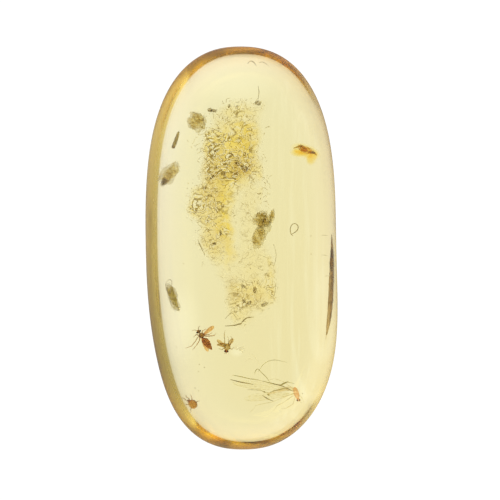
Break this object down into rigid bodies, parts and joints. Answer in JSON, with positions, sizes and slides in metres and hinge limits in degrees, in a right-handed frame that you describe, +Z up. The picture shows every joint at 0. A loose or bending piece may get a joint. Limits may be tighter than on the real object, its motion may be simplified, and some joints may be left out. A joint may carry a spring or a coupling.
{
  "type": "insect in amber",
  "caption": "Polished see-through amber pebble with small insects, bark scraps and a debris veil sealed inside, lying on its flat base.",
  "frame": {"origin": "middle of the pebble's box at the height of its flat base", "axes": "+Z up from the base, +Y along the pebble's long way towards the end away from the insects, +X across it towards the plant sliver"},
  "size_m": [0.0192, 0.0404, 0.009],
  "materials": {
    "resin": "polished",
    "wasp_shell": "satin",
    "gnat_shell": "satin",
    "mite_shell": "satin",
    "midge_shell": "satin",
    "bark": "matte",
    "plant_fibre": "matte",
    "stained_fibre": "matte",
    "veil_dust": "matte"
  },
  "bodies": {
    "root": {"amber_upper": "resin", "amber_lower": "resin", "wasp": "wasp_shell", "gnat": "gnat_shell", "mite": "mite_shell", "midge": "midge_shell", "flake_centre": "bark", "flake_lower": "bark", "flake_left": "bark", "flake_upper": "bark", "twig": "plant_fibre", "plant_sliver": "plant_fibre", "stained_flake": "stained_fibre", "debris_veil": "veil_dust"}
  },
  "joints": []
}
